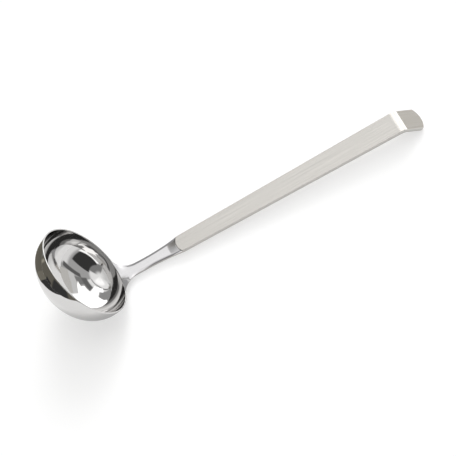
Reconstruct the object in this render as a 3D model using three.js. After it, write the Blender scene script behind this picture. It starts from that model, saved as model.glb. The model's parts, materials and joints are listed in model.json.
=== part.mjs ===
// Stainless steel ladle: a deep-drawn bowl, a polished neck and a brushed flat grip whose end is bent into a
// hook. Millimetres, +Z up. The ladle lies on a table as it is set down, on the side of its bowl and the tip of
// its hook.
//
// The pieces are modelled in the handle's frame and the whole is then laid down. In the handle's frame the
// origin is the point of the rim's outer edge nearest the handle, x runs along the handle to the hook, y runs
// across it and z is square to the grip's top face.

import * as THREE from 'three';

// Bowl: a solid of revolution whose section is a superellipse, a little fuller than an ellipse
const rimRadius = 37.5;
const bowlDepth = 29.4;
const bowlFullness = 2.16;
const bowlWall = 1.0;
const lipRound = 0.35;

// Angle between the rim's plane and the handle
const rimAngle = THREE.MathUtils.degToRad(63.2);

// Grip: a flat bar, straight from its round nose to the bend, with the hook past the bend
const gripTop = 0.9;
const gripThickness = 3.5;
const gripLength = 179.6;
const gripNoseWidth = 12.9;
const gripNoseBulge = 2.6;
const gripHookWidth = 17.8;
const gripEdgeBreak = 0.3;
const hookAngle = THREE.MathUtils.degToRad(38);
const hookBendRadius = 11;
const hookLength = 17.6;
const hookEndBulge = 3.1;

// Neck: flared foot at the bowl, waist, and shoulder with a coved ramp up to the grip's nose
const neckLength = 45.4;
const neckClimb = THREE.MathUtils.degToRad(1.1);
const neckWaistWidth = 8.6;
const neckBevelWidth = 1.7;
const neckBevelDrop = 0.6;
const neckBottomRound = 0.5;
const footCoveLength = 15.5;
const footCoveSpread = 13.5;
const footOverlap = 2.0;
const footBlendLength = 9;
const footBevelShare = 0.35;
const shoulderLength = 31;
const shoulderRise = 0.55;
const rampLength = 6.5;

// Weld runs, and the gap on each side of them
const seamWidth = 0.6;
const jointGap = 0.3;

// Facets
const bowlSectors = 72;
const bowlSteps = 18;
const lipSteps = 3;
const neckRows = 30;
const neckColumns = 14;
const neckSideSteps = 3;
const gripColumns = 14;
const bendSteps = 8;
const roundSteps = 3;

// Sizes that follow from those above
const bowlAxis = new THREE.Vector3(Math.sin(rimAngle), 0, Math.cos(rimAngle));
const rimCentre = new THREE.Vector3(-Math.cos(rimAngle), 0, Math.sin(rimAngle)).multiplyScalar(rimRadius);
const gripUnderside = gripTop - gripThickness;
const gripTaper = (gripHookWidth - gripNoseWidth) / (2 * (gripLength - gripNoseBulge));
const neckTop = gripTop - shoulderRise;
const neckThickness = neckTop - gripUnderside;
const noseRadius = arcRadius(gripNoseWidth, gripNoseBulge);
const noseCentre = neckLength + noseRadius;
const noseCorner = neckLength + gripNoseBulge;
const hookCrease = neckLength + gripLength;
const seamFarSide = jointGap + seamWidth;
const neckSeat = seamFarSide + jointGap;

// Radius of an arc from its chord and how far it bulges past the chord
function arcRadius(chord, bulge) {
  return (chord * chord) / (8 * bulge) + bulge / 2;
}

function smoothStep(share) {
  const t = THREE.MathUtils.clamp(share, 0, 1);
  return t * t * (3 - 2 * t);
}

// The x at which a test turns from false to true, between two values of x
function crossing(isPast, before, after) {
  let low = before;
  let high = after;
  const halvings = 40;
  for (let round = 0; round < halvings; round += 1) {
    const middle = (low + high) / 2;
    if (isPast(middle)) {
      high = middle;
    } else {
      low = middle;
    }
  }
  return (low + high) / 2;
}

// The bowl's outside from the rim (turn 0) to the bottom (turn pi/2), and its outward normal
function bowlPoint(turn) {
  const power = 2 / bowlFullness;
  const point = new THREE.Vector2(rimRadius * Math.cos(turn) ** power, -bowlDepth * Math.sin(turn) ** power);
  const normal = new THREE.Vector2(
    (point.x / rimRadius) ** (bowlFullness - 1) / rimRadius,
    -((-point.y / bowlDepth) ** (bowlFullness - 1)) / bowlDepth,
  );
  return { point, normal: normal.normalize() };
}

function makeBowl() {
  const round = Math.min(lipRound, 0.45 * bowlWall);
  const lipTurn = Math.asin((round / bowlDepth) ** (bowlFullness / 2));
  const lipArc = (x, start, end) => {
    const arc = new THREE.EllipseCurve(x, -round, round, round, start, end);
    return arc.getPoints(lipSteps);
  };
  const outside = [new THREE.Vector2(0, -bowlDepth)];
  const inside = [new THREE.Vector2(0, bowlWall - bowlDepth)];
  for (let step = 1; step < bowlSteps; step += 1) {
    const { point, normal } = bowlPoint(THREE.MathUtils.lerp(Math.PI / 2, lipTurn, step / bowlSteps));
    outside.push(point);
    inside.unshift(point.clone().addScaledVector(normal, -bowlWall));
  }
  const outerLip = lipArc(rimRadius - round, 0, Math.PI / 2);
  const innerLip = lipArc(rimRadius - bowlWall + round, Math.PI / 2, Math.PI);
  return new THREE.LatheGeometry([...outside, ...outerLip, ...innerLip, ...inside], bowlSectors);
}

// Whether a point lies in the bowl's filled shape, grown by a margin on its wall and over its lip
function inBowl(point, margin) {
  const fromCentre = point.clone().sub(rimCentre);
  const height = fromCentre.dot(bowlAxis);
  if (height > margin) {
    return false;
  }
  const radius = Math.sqrt(Math.max(fromCentre.lengthSq() - height * height, 0));
  const across = (radius / (rimRadius + margin)) ** bowlFullness;
  const down = (Math.max(-height, 0) / (bowlDepth + margin)) ** bowlFullness;
  return across + down < 1;
}

// Edge levels of a plate from its top to its underside. Each gives how far it is inset from the outline, its
// share of the way down the plain side, and its height above that side (on the top's bevel) or below it (on the
// lower round).
function edgeLevels(bevelWidth, bevelDrop, bottomRound, steps, sideSteps) {
  const levels = [];
  for (let step = 0; step < steps; step += 1) {
    const turn = (step / steps) * Math.PI / 2;
    levels.push({ inset: bevelWidth * (1 - Math.sin(turn)), share: 0, offset: bevelDrop * Math.cos(turn) });
  }
  for (let step = 0; step <= sideSteps; step += 1) {
    levels.push({ inset: 0, share: step / sideSteps, offset: 0 });
  }
  for (let step = 1; step <= steps; step += 1) {
    const turn = (step / steps) * Math.PI / 2;
    levels.push({ inset: bottomRound * (1 - Math.cos(turn)), share: 1, offset: -bottomRound * Math.sin(turn) });
  }
  return levels;
}

// A closed plate: a grid of points over its top, another under it, and bands of faces round its edge
function plate(rowCount, columnCount, levelCount, place) {
  const positions = [];
  const indices = [];
  const known = new Map();
  const vertex = (row, column, level) => {
    const key = `${row} ${column} ${level}`;
    if (!known.has(key)) {
      known.set(key, positions.length / 3);
      positions.push(...place(row, column, level).toArray());
    }
    return known.get(key);
  };
  const quad = (a, b, c, d) => indices.push(a, b, c, a, c, d);
  const underside = levelCount - 1;
  const edge = [];
  for (let row = 0; row < rowCount; row += 1) {
    edge.push([row, 0]);
    for (let column = 0; column < columnCount; column += 1) {
      const corners = [[row, column], [row + 1, column], [row + 1, column + 1], [row, column + 1]];
      quad(...corners.map(([i, j]) => vertex(i, j, 0)));
      quad(...corners.reverse().map(([i, j]) => vertex(i, j, underside)));
    }
  }
  for (let column = 0; column < columnCount; column += 1) {
    edge.push([rowCount, column]);
  }
  const halfWay = edge.length;
  for (let index = 0; index < halfWay; index += 1) {
    const [row, column] = edge[index];
    edge.push([rowCount - row, columnCount - column]);
  }
  edge.forEach(([row, column], index) => {
    const [nextRow, nextColumn] = edge[(index + 1) % edge.length];
    for (let level = 0; level < underside; level += 1) {
      quad(
        vertex(row, column, level),
        vertex(row, column, level + 1),
        vertex(nextRow, nextColumn, level + 1),
        vertex(nextRow, nextColumn, level),
      );
    }
  });
  const geometry = new THREE.BufferGeometry();
  geometry.setAttribute('position', new THREE.Float32BufferAttribute(positions, 3));
  geometry.setIndex(indices);
  return geometry;
}

function gripHalfWidth(x) {
  return gripNoseWidth / 2 + gripTaper * (Math.min(x, hookCrease) - noseCorner);
}

// How far the bowl's wall, or its lip above the rim's edge, stands behind that edge at a height
function wallBehind(height) {
  return height < 0 ? height * Math.tan(rimAngle) : -height / Math.tan(rimAngle);
}

// Half width of the neck: its waist, an elliptical cove where it runs out on the bowl's wall, and a parabola up
// to the shoulder
function neckHalfWidth(x, height) {
  const waist = neckWaistWidth / 2;
  const fromWall = x - wallBehind(height);
  const coveShare = THREE.MathUtils.clamp(1 - (fromWall + footOverlap) / footCoveLength, 0, 1);
  const cove = footCoveSpread * (1 - Math.sqrt(1 - coveShare * coveShare));
  const shoulderShare = Math.max(1 - (noseCorner - x) / shoulderLength, 0);
  const shoulder = (gripNoseWidth / 2 - waist) * shoulderShare * shoulderShare;
  return waist + cove + shoulder;
}

// How much longer an inset is across the neck than square to its outline, where that runs aslant
function neckSlant(x, height) {
  const step = 0.05;
  const steepest = 2.5;
  const slope = (neckHalfWidth(x + step, height) - neckHalfWidth(x, height)) / step;
  return Math.min(Math.hypot(1, slope), steepest);
}

// How much of the foot's form a place on the neck has: all of it at the rim, none past the blend
function footShare(x) {
  return 1 - smoothStep(x / footBlendLength);
}

// The foot is dished, so that it follows the rim round
function footDish(x, y) {
  const rimDrop = rimRadius - Math.sqrt(rimRadius * rimRadius - y * y);
  return footShare(x) * rimDrop * Math.sin(rimAngle);
}

// The ramp is coved: it rises ever faster up to the nose, which it follows round
function rampRise(x, y) {
  const toNose = Math.hypot(x - noseCentre, y) - noseRadius;
  const share = THREE.MathUtils.clamp(1 - toNose / rampLength, 0, 1);
  return shoulderRise * share * share;
}

// The neck climbs a little from the grip to the bowl
function neckRise(x) {
  return Math.max(noseCorner - x, 0) * Math.tan(neckClimb);
}

const bevelWidth = Math.min(neckBevelWidth, 0.3 * neckWaistWidth);
const bevelDrop = Math.min(neckBevelDrop, 0.45 * neckThickness);
const bottomRound = Math.min(neckBottomRound, 0.45 * neckThickness);
const neckLevels = edgeLevels(bevelWidth, bevelDrop, bottomRound, roundSteps, neckSideSteps);

// A point of the neck's surface: x along it, share of its half width (-1 to 1) and edge level
function neckPoint(x, share, level) {
  const top = neckTop + neckRise(x);
  const lipRise = footShare(x) * (bowlWall * Math.sin(rimAngle) - top);
  const sideTop = top + lipRise - bevelDrop;
  const sideBottom = gripUnderside + neckRise(x) + bottomRound;
  const height = THREE.MathUtils.lerp(sideTop, sideBottom, level.share) + level.offset;
  const inset = level.inset * THREE.MathUtils.lerp(1, footBevelShare, footShare(x));
  const y = share * (neckHalfWidth(x, height) - inset * neckSlant(x, height));
  return new THREE.Vector3(x, y, height + footDish(x, y) + (1 - level.share) * rampRise(x, y));
}

// Where the neck's surface comes clear of the bowl by a margin
function clearOfBowl(margin) {
  const wellInside = -rimRadius / 3;
  return (share, level) => (
    crossing((x) => !inBowl(neckPoint(x, share, level), margin), wellInside, neckLength / 2)
  );
}

// Where the neck's surface comes within a margin of the grip's nose
function nearNose(margin) {
  const isNear = (point) => Math.hypot(point.x - noseCentre, point.y) < noseRadius + margin;
  return (share, level) => crossing((x) => isNear(neckPoint(x, share, level)), neckLength / 2, noseCentre);
}

// A stretch of the neck's form between two limits
function neckStretch(startOf, endOf, rowCount) {
  return plate(rowCount, neckColumns, neckLevels.length, (row, column, levelIndex) => {
    const level = neckLevels[levelIndex];
    const share = (2 * column) / neckColumns - 1;
    const x = THREE.MathUtils.lerp(startOf(share, level), endOf(share, level), row / rowCount);
    return neckPoint(x, share, level);
  });
}

// Carries a point of the flat bar round the bend: x runs on along the bar's top face, depth is below that face
function bendHook(x, y, depth) {
  const past = x - hookCrease;
  const turn = THREE.MathUtils.clamp(past / hookBendRadius, 0, hookAngle);
  const straight = past - turn * hookBendRadius;
  const radius = hookBendRadius - depth;
  return new THREE.Vector3(
    hookCrease + radius * Math.sin(turn) + straight * Math.cos(turn),
    y,
    gripTop - hookBendRadius + radius * Math.cos(turn) - straight * Math.sin(turn),
  );
}

function makeGrip() {
  const edgeBreak = Math.min(gripEdgeBreak, 0.45 * gripThickness);
  const levels = edgeLevels(edgeBreak, edgeBreak, edgeBreak, 1, 1);
  const sideHeight = gripThickness - 2 * edgeBreak;
  const bendEnd = hookCrease + hookAngle * hookBendRadius;
  const endRadius = arcRadius(gripHookWidth, hookEndBulge);
  const endCentre = bendEnd + hookLength - endRadius;
  const crossRows = [noseCorner + gripNoseWidth / 2];
  for (let step = 0; step <= bendSteps; step += 1) {
    crossRows.push(THREE.MathUtils.lerp(hookCrease, bendEnd, step / bendSteps));
  }
  const lastRow = crossRows.length + 1;
  return plate(lastRow, gripColumns, levels.length, (row, column, levelIndex) => {
    const { inset, share, offset } = levels[levelIndex];
    const depth = edgeBreak + share * sideHeight - offset;
    const across = Math.sin(((2 * column) / gripColumns - 1) * Math.PI / 2);
    const arcReach = (radius, y) => Math.sqrt((radius - inset) ** 2 - y * y);
    if (row === 0) {
      const y = across * (gripNoseWidth / 2 - inset);
      return bendHook(noseCentre - arcReach(noseRadius, y), y, depth);
    }
    if (row === lastRow) {
      const y = across * (gripHookWidth / 2 - inset);
      return bendHook(endCentre + arcReach(endRadius, y), y, depth);
    }
    const x = crossRows[row - 1];
    return bendHook(x, across * (gripHalfWidth(x) - inset), depth);
  });
}

function piece(name, geometry, colour, roughness) {
  const material = new THREE.MeshStandardMaterial({ color: colour, roughness, metalness: 1 });
  const mesh = new THREE.Mesh(geometry, material);
  mesh.name = name;
  return mesh;
}

const polished = 0xdcdadb;
const bowl = piece('bowl', makeBowl(), 0xd9d8d4, 0.06);
bowl.position.copy(rimCentre);
bowl.quaternion.setFromUnitVectors(new THREE.Vector3(0, 1, 0), bowlAxis);
const footRun = neckStretch(clearOfBowl(jointGap), clearOfBowl(seamFarSide), 1);
const footWeld = piece('foot_weld', footRun, polished, 0.1);
const neck = piece('neck', neckStretch(clearOfBowl(neckSeat), nearNose(neckSeat), neckRows), polished, 0.12);
const shoulderRun = neckStretch(nearNose(seamFarSide), nearNose(jointGap), 1);
const shoulderWeld = piece('shoulder_weld', shoulderRun, polished, 0.1);
const grip = piece('grip', makeGrip(), 0xc9c6c0, 0.34);

const pieces = new THREE.Group();
pieces.add(bowl, footWeld, neck, shoulderWeld, grip);

// Lowest height of a piece when the handle rises from the table by a tilt
function lowest(mesh, tilt) {
  const positions = mesh.geometry.getAttribute('position');
  const point = new THREE.Vector3();
  let height = Infinity;
  for (let index = 0; index < positions.count; index += 1) {
    point.fromBufferAttribute(positions, index).applyMatrix4(mesh.matrix);
    height = Math.min(height, point.x * Math.sin(tilt) + point.z * Math.cos(tilt));
  }
  return height;
}

// The tilt at which the bowl and the hook's tip both touch the table
bowl.updateMatrix();
grip.updateMatrix();
const restTilt = crossing((tilt) => lowest(grip, tilt) > lowest(bowl, tilt), -Math.PI / 6, Math.PI / 6);
pieces.rotation.y = -restTilt;

// The origin is on the table, under the middle of the ladle
const ladle = new THREE.Group();
ladle.add(pieces);
const box = new THREE.Box3().setFromObject(ladle, true);
const middle = box.getCenter(new THREE.Vector3());
pieces.position.set(-middle.x, -middle.y, -box.min.z);

export default ladle;
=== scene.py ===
import json
import math

import bpy
import numpy as np
from mathutils import Matrix, Vector


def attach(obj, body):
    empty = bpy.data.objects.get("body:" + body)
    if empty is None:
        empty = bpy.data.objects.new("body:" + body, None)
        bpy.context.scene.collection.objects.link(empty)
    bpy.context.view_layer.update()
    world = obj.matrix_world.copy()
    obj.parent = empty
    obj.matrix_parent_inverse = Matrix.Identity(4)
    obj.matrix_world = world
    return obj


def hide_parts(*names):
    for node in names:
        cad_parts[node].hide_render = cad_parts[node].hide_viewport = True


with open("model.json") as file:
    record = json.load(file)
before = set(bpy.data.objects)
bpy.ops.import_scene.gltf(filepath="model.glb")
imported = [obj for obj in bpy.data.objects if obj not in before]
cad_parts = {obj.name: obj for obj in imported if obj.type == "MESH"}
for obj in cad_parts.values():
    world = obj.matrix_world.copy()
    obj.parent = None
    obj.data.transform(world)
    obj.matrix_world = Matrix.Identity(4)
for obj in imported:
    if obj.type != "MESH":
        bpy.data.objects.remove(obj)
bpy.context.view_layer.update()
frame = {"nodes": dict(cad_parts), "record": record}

scene = bpy.context.scene
scene.view_settings.view_transform = "Standard"
print("frame loaded:", ", ".join(sorted(frame["nodes"])))

mm = 0.001  # the sizes below are in millimetres, and Blender's are in metres

# The pieces are drawn in the handle's own frame: x runs from the rim to the hook, z is square to the grip.
# The mount under the grip, whose place in that frame is given here, says how the handle lies on the table.
lie = {"mount": "grip_underside", "place": (135.4, 0.6, -2.6)}
gripMount = next(mount for mount in frame["record"]["mounts"] if mount["name"] == lie["mount"])
tilt = math.atan2(gripMount["axis"][0], -gripMount["axis"][2])
layDown = (Matrix.Translation(gripMount["pos_m"]) @ Matrix.Rotation(-tilt, 4, "Y") @ Matrix.Scale(mm, 4)
           @ Matrix.Translation([-part for part in lie["place"]]))


def toLinear(hexColour):
    parts = [int(hexColour[i:i + 2], 16) / 255 for i in (1, 3, 5)]
    return [p / 12.92 if p <= 0.04045 else ((p + 0.055) / 1.055) ** 2.4 for p in parts] + [1.0]


# adds a node, sets its properties, and sets or links its inputs; a node as an input means its first output
def addNode(tree, kind, settings=None, inputs=None):
    node = tree.nodes.new(kind)
    for key, value in (settings or {}).items():
        setattr(node, key, value)
    for key, value in (inputs or {}).items():
        if isinstance(value, bpy.types.Node):
            value = value.outputs[0]
        if isinstance(value, bpy.types.NodeSocket):
            tree.links.new(value, node.inputs[key])
        else:
            node.inputs[key].default_value = value
    return node


def addObject(name, data):
    added = bpy.data.objects.new(name, data)
    scene.collection.objects.link(added)
    return added


def newMaterial(name):
    material = bpy.data.materials.new(name)
    material.use_nodes = True
    material.node_tree.nodes.clear()
    return material, material.node_tree


mixFrom, mixTo, mixed = 6, 7, 2  # the sockets of a Mix node for colours
noiseRange = (0.3, 0.7)  # nearly all of the noise lies between these


# noise drawn out into streaks of the given sizes, and a roughness that follows it
def streaks(tree, place, sizes, finish):
    stretch = addNode(tree, "ShaderNodeMapping", inputs={
        "Vector": place, "Scale": [1 / size for size in sizes]})
    noise = addNode(tree, "ShaderNodeTexNoise", inputs={
        "Vector": stretch, "Scale": 1.0, "Detail": finish["detail"], "Roughness": finish["fineness"]})
    gloss = addNode(tree, "ShaderNodeMapRange", inputs={
        "Value": noise, "From Min": noiseRange[0], "From Max": noiseRange[1],
        "To Min": finish["roughness"][0], "To Max": finish["roughness"][1]})
    return noise, gloss


def steelSurface(tree, inputs):
    shader = addNode(tree, "ShaderNodeBsdfPrincipled", inputs={"Metallic": 1.0, **inputs})
    addNode(tree, "ShaderNodeOutputMaterial", inputs={"Surface": shader})


bowlFinish = {"colour": "#d2d1d0", "roughness": (0.035, 0.06), "drawRipple": 9.0, "rippleDepth": 0.02,
              "rippleStrength": 0.5, "detail": 1.0, "fineness": 0.5}


# Stainless steel, deep drawn and mirror polished: reflections stay sharp, and only a slow ripple left from
# the drawing bends them a little
def mirrorSteel():
    material, tree = newMaterial("deep_drawn_stainless_mirror_polished")
    place = addNode(tree, "ShaderNodeTexCoord").outputs["Object"]
    ripple, gloss = streaks(tree, place, [bowlFinish["drawRipple"] * mm] * 3, bowlFinish)
    bump = addNode(tree, "ShaderNodeBump", inputs={
        "Height": ripple, "Strength": bowlFinish["rippleStrength"],
        "Distance": bowlFinish["rippleDepth"] * mm})
    steelSurface(tree, {"Base Color": toLinear(bowlFinish["colour"]), "Roughness": gloss, "Normal": bump})
    return material


neckFinish = {"colour": "#d9d8d9", "roughness": (0.09, 0.15), "buffLine": (18.0, 1.2, 1.2),
              "detail": 2.0, "fineness": 0.5}


# Stainless steel, ground and buffed along its length: soft-edged reflections, a little cooler than the grip
def buffedSteel():
    material, tree = newMaterial("stainless_bar_buffed")
    place = addNode(tree, "ShaderNodeTexCoord").outputs["Object"]
    gloss = streaks(tree, place, [size * mm for size in neckFinish["buffLine"]], neckFinish)[1]
    steelSurface(tree, {"Base Color": toLinear(neckFinish["colour"]), "Roughness": gloss})
    return material


gripFinish = {"light": "#e9e6e1", "dark": "#bfbcb7", "roughness": (0.2, 0.26), "brushLine": (65.0, 0.75),
              "lineDepth": 0.01, "lineStrength": 0.6, "spread": 0.7, "spreadTurn": 0.25,
              "detail": 4.0, "fineness": 0.65}


# Stainless steel bar, brushed along its length: fine long lines that spread reflections across the bar
def brushedSteel():
    material, tree = newMaterial("stainless_bar_brushed_lengthwise")
    along = addNode(tree, "ShaderNodeUVMap", {"uv_map": "barMap"})  # this map is in millimetres
    # real lines are about 0.1 mm apart; they are drawn coarser so that they show
    lines, gloss = streaks(tree, along, [*gripFinish["brushLine"], 1], gripFinish)
    tone = addNode(tree, "ShaderNodeMix", {"data_type": "RGBA"}, {
        0: lines, mixFrom: toLinear(gripFinish["dark"]), mixTo: toLinear(gripFinish["light"])})
    bump = addNode(tree, "ShaderNodeBump", inputs={
        "Height": lines, "Strength": gripFinish["lineStrength"], "Distance": gripFinish["lineDepth"] * mm})
    tangent = addNode(tree, "ShaderNodeTangent", {"direction_type": "UV_MAP", "uv_map": "barMap"})
    steelSurface(tree, {
        "Base Color": tone.outputs[mixed], "Roughness": gloss, "Normal": bump, "Tangent": tangent,
        "Anisotropic": gripFinish["spread"], "Anisotropic Rotation": gripFinish["spreadTurn"]})
    return material


# the edges' darker colour is painted shade; their higher roughness is the real ground finish
edgeFinishWithShade = {"colour": "#bebcb8", "roughness": (0.25, 0.4), "grindLine": (6.0, 0.5, 0.5),
              "detail": 3.0, "fineness": 0.5}


# The bar's cut edges, ground and left dull, with short streaks. Their colour is greyer than the faces: this
# is painted shade, standing for the shaded table that these sides reflect.
def groundAndShadedSteel():
    material, tree = newMaterial("stainless_bar_edge_ground_and_painted_shade")
    place = addNode(tree, "ShaderNodeTexCoord").outputs["Object"]
    gloss = streaks(tree, place, [size * mm for size in edgeFinishWithShade["grindLine"]], edgeFinishWithShade)[1]
    steelSurface(tree, {"Base Color": toLinear(edgeFinishWithShade["colour"]), "Roughness": gloss})
    return material


mirrorFinish = mirrorSteel()
groundAndShadedFinish = groundAndShadedSteel()
buffedFinish = buffedSteel()
brushedFinish = brushedSteel()
print("finishes made")

# the trim keeps the round bowl inside the faceted solid's box
bowlSizes = {"Rim radius": 37.5, "Depth": 29.4, "Fullness": 2.16, "Wall": 1.0, "Lip round": 0.35,
             "Trim": 0.04, "Sectors": 240, "Wall steps": 84, "Lip steps": 12, "Merge within": 0.002}
rimAngle = math.radians(63.2)  # between the rim's plane and the handle
rimRadius = bowlSizes["Rim radius"]
rimCentre = np.array([-math.cos(rimAngle), 0, math.sin(rimAngle)]) * rimRadius
bowlAxis = np.array([math.sin(rimAngle), 0, math.cos(rimAngle)])
quarter = math.pi / 2

# The bowl is a solid of revolution. A flat grid is wrapped round its axis: each row of the grid is a ring
# that climbs the outside, passes over the lip and goes down the inside. Each step of the rule has a name,
# a sum, and what goes into it; x and y are the grid's own.
bowlRule = [
    ("radius", "SUBTRACT", "Rim radius", "Trim"),
    ("depth", "SUBTRACT", "Depth", "Trim"),
    ("rows", "MULTIPLY_ADD", "Wall steps", 2.0, "Lip steps"),
    ("rowPoints", "ADD", "rows", 1.0),
    ("columnPoints", "ADD", "Sectors", 1.0),
    ("row", "MULTIPLY_ADD", "rows", 0.5, "x"),
    ("rowOnLip", "SUBTRACT", "row", "Wall steps"),
    ("rowInside", "SUBTRACT", "rowOnLip", "Lip steps"),
    ("up", "DIVIDE", "row", "Wall steps"),
    ("over", "DIVIDE", "rowOnLip", "Lip steps"),
    ("down", "DIVIDE", "rowInside", "Wall steps"),
    ("climb", "SUBTRACT", "up", "down"),  # 0 at the bottom, 1 at the lip, back to 0 inside
    # the section is a superellipse: its turn, then how far out and down the ring is
    ("lipPart", "DIVIDE", "Lip round", "depth"),
    ("halfFull", "DIVIDE", "Fullness", 2.0),
    ("lipSine", "POWER", "lipPart", "halfFull"),
    ("lipEnd", "ARCSINE", "lipSine"),
    ("span", "SUBTRACT", "lipEnd", quarter),
    ("turn", "MULTIPLY_ADD", "span", "climb", quarter),
    ("power", "DIVIDE", 2.0, "Fullness"),
    ("cosine", "COSINE", "turn"),
    ("cosineOrNone", "MAXIMUM", "cosine", 0.0),
    ("out", "POWER", "cosineOrNone", "power"),
    ("sine", "SINE", "turn"),
    ("drop", "POWER", "sine", "power"),
    # the section's normal
    ("steep", "SUBTRACT", "Fullness", 1.0),
    ("outSteep", "POWER", "out", "steep"),
    ("normalOut", "DIVIDE", "outSteep", "radius"),
    ("dropSteep", "POWER", "drop", "steep"),
    ("normalDrop", "DIVIDE", "dropSteep", "depth"),
    ("outSquare", "MULTIPLY", "normalOut", "normalOut"),
    ("bothSquares", "MULTIPLY_ADD", "normalDrop", "normalDrop", "outSquare"),
    ("length", "SQRT", "bothSquares"),
    # over the lip the ring moves in by the wall and follows a half round
    ("lipTurn", "MULTIPLY", "over", math.pi),
    ("lipCosine", "COSINE", "lipTurn"),
    ("wallShare", "MULTIPLY_ADD", "lipCosine", -0.5, 0.5),
    ("inset", "MULTIPLY", "Wall", "wallShare"),
    ("share", "DIVIDE", "inset", "length"),
    ("outerRing", "MULTIPLY", "out", "radius"),
    ("ringInset", "MULTIPLY", "normalOut", "share"),
    ("ring", "SUBTRACT", "outerRing", "ringInset"),
    ("outerDrop", "MULTIPLY", "drop", "depth"),
    ("dropInset", "MULTIPLY", "normalDrop", "share"),
    ("sectionLevel", "SUBTRACT", "dropInset", "outerDrop"),
    ("lipSwing", "SINE", "lipTurn"),
    ("level", "MULTIPLY_ADD", "lipSwing", "Lip round", "sectionLevel"),
    # round the axis
    ("column", "MULTIPLY_ADD", "Sectors", 0.5, "y"),
    ("wayRound", "DIVIDE", "column", "Sectors"),
    ("angle", "MULTIPLY", "wayRound", 2 * math.pi),
    ("angleCosine", "COSINE", "angle"),
    ("angleSine", "SINE", "angle"),
    ("placeX", "MULTIPLY", "ring", "angleCosine"),
    ("placeY", "MULTIPLY", "ring", "angleSine"),
]
zeroToOne = ("up", "over", "down")  # these steps are kept between 0 and 1


def bowlTree():
    tree = bpy.data.node_groups.new("bowl of revolution", "GeometryNodeTree")
    for name, value in bowlSizes.items():
        kind = "NodeSocketInt" if isinstance(value, int) else "NodeSocketFloat"
        tree.interface.new_socket(name, in_out="INPUT", socket_type=kind)
    tree.interface.new_socket("Finish", in_out="INPUT", socket_type="NodeSocketMaterial")
    tree.interface.new_socket("Geometry", in_out="OUTPUT", socket_type="NodeSocketGeometry")
    given = tree.nodes.new("NodeGroupInput").outputs
    gridPoint = addNode(tree, "GeometryNodeInputPosition")
    spot = addNode(tree, "ShaderNodeSeparateXYZ", inputs={0: gridPoint}).outputs
    known = {"x": spot["X"], "y": spot["Y"], **{name: given[name] for name in bowlSizes}}
    for name, operation, *values in bowlRule:
        settings = {"operation": operation, "use_clamp": name in zeroToOne}
        inputs = {slot: known.get(value, value) for slot, value in enumerate(values)}
        known[name] = addNode(tree, "ShaderNodeMath", settings, inputs)

    grid = addNode(tree, "GeometryNodeMeshGrid", inputs={
        "Size X": known["rows"], "Size Y": known["Sectors"],
        "Vertices X": known["rowPoints"], "Vertices Y": known["columnPoints"]})
    placed = addNode(tree, "ShaderNodeCombineXYZ", inputs={
        0: known["placeX"], 1: known["placeY"], 2: known["level"]})
    shell = addNode(tree, "GeometryNodeSetPosition", inputs={"Geometry": grid, "Position": placed})
    closed = addNode(tree, "GeometryNodeMergeByDistance", inputs={
        "Geometry": shell, "Distance": known["Merge within"]})
    outward = addNode(tree, "GeometryNodeFlipFaces", inputs={0: closed})
    smooth = addNode(tree, "GeometryNodeSetShadeSmooth", inputs={"Geometry": outward})
    real = addNode(tree, "GeometryNodeRealizeInstances", inputs={"Geometry": smooth})
    finished = addNode(tree, "GeometryNodeSetMaterial", inputs={
        "Geometry": real, "Material": given["Finish"]})
    addNode(tree, "NodeGroupOutput", inputs={"Geometry": finished})
    return tree


def makeBowl():
    bowl = addObject("bowl_shell", bpy.data.meshes.new("bowl_shell"))
    modifier = bowl.modifiers.new("bowl of revolution", "NODES")
    modifier.node_group = bowlTree()
    for socket in modifier.node_group.interface.items_tree:
        if socket.in_out == "INPUT":
            modifier[socket.identifier] = bowlSizes.get(socket.name, mirrorFinish)
    mesh = bpy.data.meshes.new_from_object(bowl.evaluated_get(bpy.context.evaluated_depsgraph_get()))
    bowl.modifiers.clear()
    bowl.data = mesh
    mesh.transform(layDown @ Matrix.Translation(rimCentre) @ Matrix.Rotation(rimAngle, 4, "Y"))
    return bowl


# A plate of points[row][column][level]: a grid over its top, one under it, and bands of faces round its edge,
# which below the bevel are ground and darkened with painted shade
def plateMesh(name, points, finish, size, barMap=None):
    rows, columns, levels = [count - 1 for count in points.shape[:3]]
    edge = [(row, 0) for row in range(rows)] + [(rows, column) for column in range(columns)]
    edge += [(rows - row, columns - column) for row, column in edge]
    corners = {}

    def corner(row, column, level):
        return corners.setdefault((row, column, level), len(corners))

    faces = []
    for row in range(rows):
        for column in range(columns):
            ring = [(row, column), (row + 1, column), (row + 1, column + 1), (row, column + 1)]
            faces.append([corner(*at, 0) for at in ring])
            faces.append([corner(*at, levels) for at in reversed(ring)])
    finishes = [0] * len(faces)
    for at, following in zip(edge, edge[1:] + edge[:1]):
        for level in range(levels):
            faces.append([corner(*at, level), corner(*at, level + 1),
                          corner(*following, level + 1), corner(*following, level)])
            # the bands below the bevel take the ground edge finish, whose darker colour is painted shade
            finishes.append(int(level >= size["roundSteps"]))
    places = list(corners)
    mesh = bpy.data.meshes.new(name)
    mesh.from_pydata([points[at] for at in places], [], faces)
    if barMap is not None:
        layer = mesh.uv_layers.new(name="barMap")
        for loop in mesh.loops:
            layer.data[loop.index].uv = barMap[places[loop.vertex_index]]
    mesh.transform(layDown)
    mesh.shade_smooth()
    mesh.set_sharp_from_angle(angle=math.radians(size["creaseAngle"]))
    mesh.materials.append(finish)
    # second slot: the ground edge finish, darkened with painted shade
    mesh.materials.append(groundAndShadedFinish)
    mesh.polygons.foreach_set("material_index", finishes)
    return addObject(name, mesh)


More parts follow.
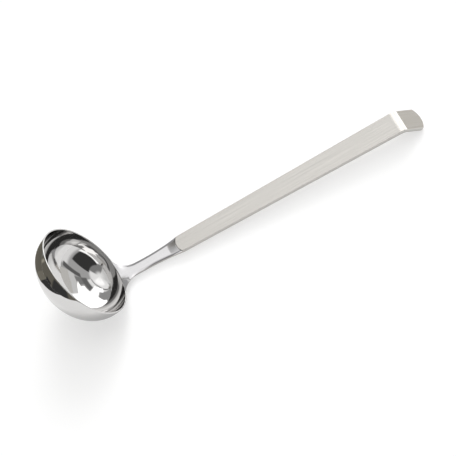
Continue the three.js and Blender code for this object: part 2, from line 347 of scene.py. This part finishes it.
# Edge of a plate, from its top to its underside: rows of inset, share of the way down, height over it.
# The bevel is round at a flatness of 0 and a plain slope at 1.
def edgeLevels(bevelWidth, bevelDrop, bottomRound, steps, sideSteps, flatness=0):
    turns = [step / steps * quarter for step in range(steps + 1)]
    levels = []
    for turn in turns[:-1]:
        slope = 1 - turn / quarter
        levels.append((bevelWidth * (flatness * slope + (1 - flatness) * (1 - math.sin(turn))), 0,
                       bevelDrop * (flatness * slope + (1 - flatness) * math.cos(turn))))
    levels += [(0, step / sideSteps, 0) for step in range(sideSteps + 1)]
    levels += [(bottomRound * (1 - math.cos(turn)), 1, -bottomRound * math.sin(turn)) for turn in turns[1:]]
    return np.array(levels)


def smoothStep(share):
    share = np.clip(share, 0, 1)
    return share ** 2 * (3 - 2 * share)


gripSizes = {"top": 0.9, "thickness": 3.5, "nose": 45.4, "length": 179.9, "noseWidth": 12.9, "noseBulge": 2.6,
             "hookWidth": 17.8, "edgeRound": 0.3, "bendAngle": 39.35, "bendRadius": 12, "hookLength": 16.36,
             "endBulge": 3.1, "swellWidth": 1.7, "swellHeight": 0.08, "creaseAngle": 12,
             "columns": 40, "straightRows": 12, "swellRows": 9, "bendSteps": 36, "roundSteps": 4}


def arcRadius(chord, bulge):
    return chord * chord / (8 * bulge) + bulge / 2


noseRadius = arcRadius(gripSizes["noseWidth"], gripSizes["noseBulge"])
noseCentre = gripSizes["nose"] + noseRadius
noseCorner = gripSizes["nose"] + gripSizes["noseBulge"]
underside = gripSizes["top"] - gripSizes["thickness"]


# A flat bar, laid out straight in rows across it and then bent at its crease
def makeGrip():
    size = gripSizes
    edge = size["edgeRound"]
    crease = size["nose"] + size["length"]
    bendAngle, bendRadius = math.radians(size["bendAngle"]), size["bendRadius"]
    bendEnd = crease + bendAngle * bendRadius
    endRadius = arcRadius(size["hookWidth"], size["endBulge"])
    endCentre = bendEnd + size["hookLength"] - endRadius
    taper = (size["hookWidth"] - size["noseWidth"]) / 2 / (crease - noseCorner)
    inset, share, offset = edgeLevels(edge, edge, edge, size["roundSteps"], 1).T
    depth = edge + share * (size["thickness"] - 2 * edge) - offset
    across = np.sin(np.linspace(-1, 1, size["columns"] + 1) * quarter)[:, None]

    noseY = across * (size["noseWidth"] / 2 - inset)
    noseX = noseCentre - np.sqrt((noseRadius - inset) ** 2 - noseY ** 2)
    endY = across * (size["hookWidth"] / 2 - inset)
    endX = endCentre + np.sqrt((endRadius - inset) ** 2 - endY ** 2)
    # a second row by each end keeps the top flat right up to the rounded edge
    rows = [(noseX, noseY), (noseX + edge, noseY)]
    swellRows = np.linspace(crease - size["swellWidth"], crease, size["swellRows"])
    straightRows = np.linspace(noseCorner + size["noseWidth"] / 2, swellRows[0] - edge, size["straightRows"])
    bendRows = np.linspace(crease, bendEnd, size["bendSteps"] + 1)[1:]
    for x in np.concatenate([straightRows, swellRows, bendRows]):
        halfWidth = size["noseWidth"] / 2 + taper * (min(x, crease) - noseCorner)
        rows.append((np.full_like(noseY, x), across * (halfWidth - inset)))
    rows += [(endX - edge, endY), (endX, endY)]

    x = np.array([row[0] for row in rows])
    y = np.array([row[1] for row in rows])
    turn = np.clip((x - crease) / bendRadius, 0, bendAngle)
    straight = x - crease - turn * bendRadius
    # the bar swells a little just before the bend, and the swell is gone at the bend's end
    swell = size["swellHeight"] * smoothStep(1 - (crease - x) / size["swellWidth"]) * (1 - turn / bendAngle)
    radius = bendRadius - depth + swell * (1 - share)
    points = np.stack([
        crease + radius * np.sin(turn) + straight * np.cos(turn), y,
        size["top"] - bendRadius + radius * np.cos(turn) - straight * np.sin(turn)], axis=-1)
    barMap = np.stack([x, y + np.sign(y) * depth], axis=-1)
    return plateMesh("grip_bar", points, brushedFinish, size, barMap)


neckSizes = {"climb": 0.72, "waistWidth": 8.6, "bevelWidth": 1.7, "bevelDrop": 0.6, "bevelFlatness": 0.8,
             "slantLimit": 2.5, "bottomRound": 0.5, "coveLength": 15.5, "coveSpread": 13.5,
             "footOverlap": 2.0, "footBlend": 9, "footFlush": 0.95, "flushLength": 28, "shoulderLength": 31,
             "shoulderRise": 0.7, "rampLength": 6.6, "rampCurve": 1.15, "creaseAngle": 35,
             "columns": 44, "roundSteps": 8, "sideSteps": 4, "rows": 150, "weldRows": 8,
             "slopeStep": 0.05, "halvings": 40}
neckTop = gripSizes["top"] - neckSizes["shoulderRise"]
neckEdge = edgeLevels(neckSizes["bevelWidth"], neckSizes["bevelDrop"], neckSizes["bottomRound"],
                      neckSizes["roundSteps"], neckSizes["sideSteps"], neckSizes["bevelFlatness"])
neckAcross = np.linspace(-1, 1, neckSizes["columns"] + 1)[:, None]


# a cove at the foot, the waist, and a shoulder as wide as the grip's nose
def neckHalfWidth(x, height):
    size = neckSizes
    waist = size["waistWidth"] / 2
    behind = np.where(height < 0, height * math.tan(rimAngle), -height / math.tan(rimAngle))
    cove = np.clip(1 - (x - behind + size["footOverlap"]) / size["coveLength"], 0, 1)
    shoulder = np.clip(1 - (noseCorner - x) / size["shoulderLength"], 0, None)
    return (waist + size["coveSpread"] * (1 - np.sqrt(1 - cove ** 2))
            + (gripSizes["noseWidth"] / 2 - waist) * shoulder ** 2)


# A point of the neck's skin from x along it and a share of its half width, on every level of its edge
def neckPoint(x, across):
    size = neckSizes
    inset, share, offset = neckEdge.T
    foot = 1 - smoothStep(x / size["footBlend"])
    rise = np.maximum(noseCorner - x, 0) * math.tan(math.radians(size["climb"]))
    top = neckTop + rise
    # the bevel runs out at the foot
    flush = 1 - size["footFlush"] * (1 - smoothStep(x / size["flushLength"]))
    lipTop = bowlSizes["Wall"] * math.sin(rimAngle)
    sideTop = top + foot * (lipTop - top) - size["bevelDrop"] * flush
    sideBottom = underside + rise + size["bottomRound"]
    height = sideTop + (sideBottom - sideTop) * share + np.where(offset > 0, offset * flush, offset)
    halfWidth = neckHalfWidth(x, height)
    slope = (neckHalfWidth(x + size["slopeStep"], height) - halfWidth) / size["slopeStep"]
    slant = np.minimum(np.hypot(1, slope), size["slantLimit"])  # keeps the bevel's width square to the edge
    y = across * (halfWidth - inset * slant)
    dish = foot * (rimRadius - np.sqrt(rimRadius ** 2 - y ** 2)) * math.sin(rimAngle)  # follows the rim round
    toNose = np.hypot(x - noseCentre, y) - noseRadius
    ramp = size["shoulderRise"] * np.clip(1 - toNose / size["rampLength"], 0, 1) ** size["rampCurve"]
    return np.stack([x + 0 * y, y, height + dish + (1 - share) * ramp], axis=-1)


def inBowl(points, margin):
    fromCentre = points - rimCentre
    height = fromCentre @ bowlAxis
    radius = np.sqrt(np.maximum((fromCentre ** 2).sum(-1) - height ** 2, 0))
    outShare = radius / (rimRadius + margin)
    downShare = np.maximum(-height, 0) / (bowlSizes["Depth"] + margin)
    full = bowlSizes["Fullness"]
    return (outShare ** full + downShare ** full < 1) & (height <= margin)


def nearNose(points, margin):
    return np.hypot(points[..., 0] - noseCentre, points[..., 1]) < noseRadius + margin


# halves the stretch until each line of the skin meets the limit
def crossing(isPast, before, after):
    low = np.full((len(neckAcross), len(neckEdge)), float(before))
    high = np.full_like(low, float(after))
    for _ in range(neckSizes["halvings"]):
        middle = (low + high) / 2
        past = isPast(neckPoint(middle, neckAcross))
        high = np.where(past, middle, high)
        low = np.where(past, low, middle)
    return (low + high) / 2


insideBowl, halfWay = -rimRadius / 3, gripSizes["nose"] / 2  # where the searches start and end


def clearOfBowl(margin):
    return crossing(lambda points: ~inBowl(points, margin), insideBowl, halfWay)


def atNose(margin):
    return crossing(lambda points: nearNose(points, margin), halfWay, noseCentre)


def neckStretch(name, start, end, rows):
    points = np.array([neckPoint(start + (end - start) * row / rows, neckAcross) for row in range(rows + 1)])
    return plateMesh(name, points, buffedFinish, neckSizes)


# how far each weld run reaches from the bowl and from the nose; the foot's is sunk in the bowl's wall
weldSizes = {"sunk": -0.25, "footSide": 1.2, "noseSide": 1.2, "hairline": 0.25}

bowl = makeBowl()
print("bowl made")
grip = makeGrip()
print("grip made")
footEdge = clearOfBowl(weldSizes["footSide"])
noseEdge = atNose(weldSizes["noseSide"])
footWeld = neckStretch("foot_blend", clearOfBowl(weldSizes["sunk"]), footEdge, neckSizes["weldRows"])
neck = neckStretch("neck_bar", footEdge, noseEdge, neckSizes["rows"])
shoulderWeld = neckStretch("nose_bead", noseEdge, atNose(weldSizes["hairline"]), neckSizes["weldRows"])
print("neck and welds made")

for piece, node, finish in [(bowl, "bowl", "bowl_polished"), (footWeld, "foot_weld", "neck_polished"),
                            (neck, "neck", "neck_polished"), (shoulderWeld, "shoulder_weld", "neck_polished"),
                            (grip, "grip", "grip_brushed")]:
    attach(piece, "root")
    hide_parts(node)
    print(piece.name, "replaces", node, "with", len(piece.data.polygons), "faces")


# a flat sheet of the stage from its corners in mm
def stageSheet(name, outline, material):
    mesh = bpy.data.meshes.new(name)
    mesh.from_pydata([Vector(corner) * mm for corner in outline], [], [range(len(outline))])
    mesh.materials.append(material)
    sheet = addObject(name, mesh)
    return sheet


tableLook = {"colour": "#c8c8c8", "lift": 0.52, "half": 12000, "below": 0.05}


# Pale paper under the ladle: it keeps the shadow, and is lifted to white for the camera and the metal
def makeTable():
    material, tree = newMaterial("pale_paper_table")
    rays = addNode(tree, "ShaderNodeLightPath").outputs
    seen = addNode(tree, "ShaderNodeMath", {"operation": "ADD"}, {
        0: rays["Is Camera Ray"], 1: rays["Is Glossy Ray"]})
    seen = addNode(tree, "ShaderNodeMath", {"operation": "ADD", "use_clamp": True}, {
        0: seen, 1: rays["Is Transmission Ray"]})
    strength = addNode(tree, "ShaderNodeMath", {"operation": "MULTIPLY"}, {0: seen, 1: tableLook["lift"]})
    paper = addNode(tree, "ShaderNodeBsdfDiffuse", inputs={"Color": toLinear(tableLook["colour"])})
    lift = addNode(tree, "ShaderNodeEmission", inputs={"Strength": strength})
    both = addNode(tree, "ShaderNodeAddShader", inputs={0: paper, 1: lift})
    addNode(tree, "ShaderNodeOutputMaterial", inputs={"Surface": both})
    half, z = tableLook["half"], -tableLook["below"]
    stageSheet("table", [(-half, -half, z), (half, -half, z), (half, half, z), (-half, half, z)], material)


# The room as the metal sees it. Each patch: azimuth from and to, elevation from and to, lean (azimuth gained
# for each degree climbed), soft edge, all in degrees, then brightness and tint. Azimuth runs from the hook's
# side (0) to the far side (90); a later patch lies over an earlier one.
room = {
    "ceiling": (-200, 200, 63, 120, 0, 8, 1.12, "#ffffff"),
    "bright end of the ceiling": (18, 98, 65, 83, 0, 24, 1.6, "#ffffff"),
    "dim end of the ceiling": (122, 226, 52, 80, 0, 20, 0.8, "#ffffff"),
    "far side": (3, 116, 50, 66, 0, 6, 1.15, "#ffffff"),
    "line in the far side": (4, 54, 61.3, 64.3, 0, 2, 0.45, "#ffffff"),
    "end of the line": (70, 87, 51.5, 63.5, -4.5, 5, 0.3, "#ffffff"),
    "end of the room": (103, 238, -40, 56, 0, 8, 0.18, "#f4edda"),
    "lit strip at the end": (136, 141, -8, 12, 0, 4, 0.45, "#f4edda"),
    "door at the end": (164, 177, -30, 9, 0, 4, 0.04, "#ffffff"),
    "corner at the end": (180, 216, -10, 26, 0, 6, 0.05, "#ffffff"),
    "front": (-110, -27, -40, 13.5, 0, 9, 1.0, "#ffffff"),
    "over the camera": (-150, -44, 54, 81, 0, 13, 0.28, "#ffffff"),
    "behind the camera": (-122, -39, 20, 63, 0.35, 4, 0.05, "#ffffff"),
    "side curtain": (-131, -99, 17, 58.5, -0.87, 4.5, 1.55, "#ffffff"),
    "grey panel": (-15, 28, -10, 26, 0, 3, 0.8, "#ffffff"),
    "frame at the side": (-23, -12, 4, 40, 0.45, 3, 0.15, "#ffffff"),
    "beam over the panel": (-5, 13, 25.5, 41, 0, 3, 0.28, "#ffffff"),
    "frame on top": (-4, 34, 39, 52, 0, 5, 0.18, "#ffffff"),
    "far wall": (58, 128, -2, 51, -0.1, 5, 0.38, "#ffffff"),
    "skylight": (34, 58, 30, 58, 0, 5, 1.9, "#ffffff"),
    "upper skylight": (46, 74, 50, 59.5, 0, 3, 2.2, "#ffffff"),
    "window": (27, 82, -8, 29.5, 0, 3, 2.3, "#ffffff"),
    "window arch": (17, 60, 27, 36, 0, 4, 2.3, "#ffffff"),
    "slope of the arch": (40, 73, 25, 36, -2.2, 5, 2.3, "#ffffff"),
    "window corner": (18, 50, 11, 28, -1.46, 3, 2.3, "#ffffff"),
}
roomBase = 0.5  # brightness where there is no patch


def makeRoom():
    scene.world = bpy.data.worlds.new("studio")
    scene.world.use_nodes = True
    tree = scene.world.node_tree
    tree.nodes.clear()
    towards = addNode(tree, "ShaderNodeTexCoord").outputs["Generated"]
    axes = addNode(tree, "ShaderNodeSeparateXYZ", inputs={0: towards}).outputs
    azimuth = addNode(tree, "ShaderNodeMath", {"operation": "ARCTAN2"}, {0: axes["Y"], 1: axes["X"]})
    azimuth = addNode(tree, "ShaderNodeMath", {"operation": "DEGREES"}, {0: azimuth})
    elevation = addNode(tree, "ShaderNodeMath", {"operation": "ARCSINE"}, {0: axes["Z"]})
    elevation = addNode(tree, "ShaderNodeMath", {"operation": "DEGREES"}, {0: elevation})
    light = [roomBase] * 3 + [1]
    for left, right, low, high, lean, soft, brightness, tint in room.values():
        climbed = addNode(tree, "ShaderNodeMath", {"operation": "SUBTRACT"}, {
            0: elevation, 1: (low + high) / 2})
        middle = addNode(tree, "ShaderNodeMath", {"operation": "MULTIPLY_ADD"}, {
            0: climbed, 1: lean, 2: (left + right) / 2})
        aside = addNode(tree, "ShaderNodeMath", {"operation": "SUBTRACT"}, {0: azimuth, 1: middle})
        aside = addNode(tree, "ShaderNodeMath", {"operation": "WRAP"}, {0: aside, 1: 180.0, 2: -180.0})
        edges = []
        for gap, half in ((aside, (right - left) / 2), (climbed, (high - low) / 2)):
            gap = addNode(tree, "ShaderNodeMath", {"operation": "ABSOLUTE"}, {0: gap})
            edges.append(addNode(tree, "ShaderNodeMapRange", {"interpolation_type": "SMOOTHSTEP"}, {
                "Value": gap, "From Min": half + soft / 2, "From Max": half - soft / 2}))
        cover = addNode(tree, "ShaderNodeMath", {"operation": "MULTIPLY"}, {0: edges[0], 1: edges[1]})
        glow = [part * brightness for part in toLinear(tint)[:3]] + [1]
        light = addNode(tree, "ShaderNodeMix", {"data_type": "RGBA"}, {
            0: cover, mixFrom: light, mixTo: glow}).outputs[mixed]
    background = addNode(tree, "ShaderNodeBackground", inputs={"Color": light})
    addNode(tree, "ShaderNodeOutputWorld", inputs={"Surface": background})


# Cards about the ladle that only the metal sees: brightness, tint and corners in mm. Three lie on the table
# beside the bowl, and one stands past the hook.
cards = {
    "beside": (0.18, "#f4edda", [
        (-160, 62, 0), (-190, 52, 0), (-9000, 4800, 0), (-9000, 11000, 0), (-150, 11000, 0)]),
    "gap": (0.24, "#f4edda", [
        (-190, 52, 0), (-222, 44, 0), (-9000, 2450, 0), (-9000, 4800, 0)]),
    "left": (0.05, "#ffffff", [
        (-222, 44, 0), (-260, 40, 0), (-900, -190, 0), (-9000, -3100, 0), (-9000, 2450, 0)]),
    "past_the_hook": (0.72, "#fbf9f5", [
        (335, -104, 0), (335, 229, 0), (335, 229, 45), (335, 87, 120), (335, -104, 140)]),
}
cardLift = 0.3  # over the table


def metalOnly(name, outline, material):
    card = stageSheet(name, [(x, y, z + cardLift) for x, y, z in outline], material)
    card.visible_camera = card.visible_diffuse = card.visible_shadow = False


def makeCards():
    for name, (brightness, tint, outline) in cards.items():
        material, tree = newMaterial("card_" + name)
        glow = addNode(tree, "ShaderNodeEmission", inputs={"Color": toLinear(tint), "Strength": brightness})
        addNode(tree, "ShaderNodeOutputMaterial", inputs={"Surface": glow})
        metalOnly("card_" + name, outline, material)


shade = {"middle": (-118, -18, 0), "reach": 75, "brightness": 0.46, "sides": 48}


# The table darkens close under the bowl; only the metal sees this card, which thins out towards its edge
def makeShade():
    material, tree = newMaterial("shade_under_the_bowl")
    place = addNode(tree, "ShaderNodeTexCoord").outputs["Object"]
    away = addNode(tree, "ShaderNodeVectorMath", {"operation": "DISTANCE"}, {
        0: place, 1: Vector(shade["middle"]) * mm}).outputs["Value"]
    depth = addNode(tree, "ShaderNodeMapRange", {"interpolation_type": "SMOOTHSTEP"}, {
        "Value": away, "From Min": shade["reach"] * mm, "From Max": 0})
    clear = addNode(tree, "ShaderNodeBsdfTransparent")
    dark = addNode(tree, "ShaderNodeEmission", inputs={"Strength": shade["brightness"]})
    card = addNode(tree, "ShaderNodeMixShader", inputs={0: depth, 1: clear, 2: dark})
    addNode(tree, "ShaderNodeOutputMaterial", inputs={"Surface": card})
    x, y, z = shade["middle"]
    reach = shade["reach"]
    turns = [side / shade["sides"] * 2 * math.pi for side in range(shade["sides"])]
    outline = [(x + reach * math.cos(turn), y + reach * math.sin(turn), z) for turn in turns]
    metalOnly("shade_under_the_bowl", outline, material)


# A soft key light from the far side, low enough to throw the shadow to the near side, and a wider one
# overhead, whose soft shadow darkens the table close to the ladle
lamps = {"key": {"from": (0.41, 0.69, 0.66), "strength": 0.75, "softness": 22},
         "overhead": {"from": (0.05, 0.25, 1.0), "strength": 0.35, "softness": 60}}


def makeLamps():
    for name, look in lamps.items():
        lamp = bpy.data.lights.new(name, "SUN")
        lamp.energy = look["strength"]
        lamp.angle = math.radians(look["softness"])
        holder = addObject(name, lamp)
        towards = Vector(look["from"])
        turned = towards.to_track_quat("Z", "Y").to_matrix().to_4x4()
        holder.matrix_world = Matrix.Translation(towards) @ turned
        holder.visible_glossy = False  # the metal shows the room, not the lamps


# Camera fitted to the photograph: its place in mm, the directions to its right and up; clip is in metres
photoCamera = {"place": (-28.36, -480.32, 888.02), "right": (0.8830, -0.4197, -0.2100),
               "up": (0.4691, 0.7748, 0.4237), "lens": 109.649, "sensor": 36.0, "clip": (0.01, 100)}


def makeCamera():
    view = bpy.data.cameras.new("photo view")
    view.lens, view.sensor_width, view.sensor_fit = photoCamera["lens"], photoCamera["sensor"], "HORIZONTAL"
    view.clip_start, view.clip_end = photoCamera["clip"]
    right = Vector(photoCamera["right"]).normalized()
    back = right.cross(Vector(photoCamera["up"])).normalized()
    turned = Matrix((right, back.cross(right), back)).transposed().to_4x4()
    scene.camera = addObject("photo view", view)
    scene.camera.matrix_world = Matrix.Translation(Vector(photoCamera["place"]) * mm) @ turned


makeTable()
makeRoom()
makeCards()
makeShade()
makeLamps()
makeCamera()
print("table, room, lamps and camera set")
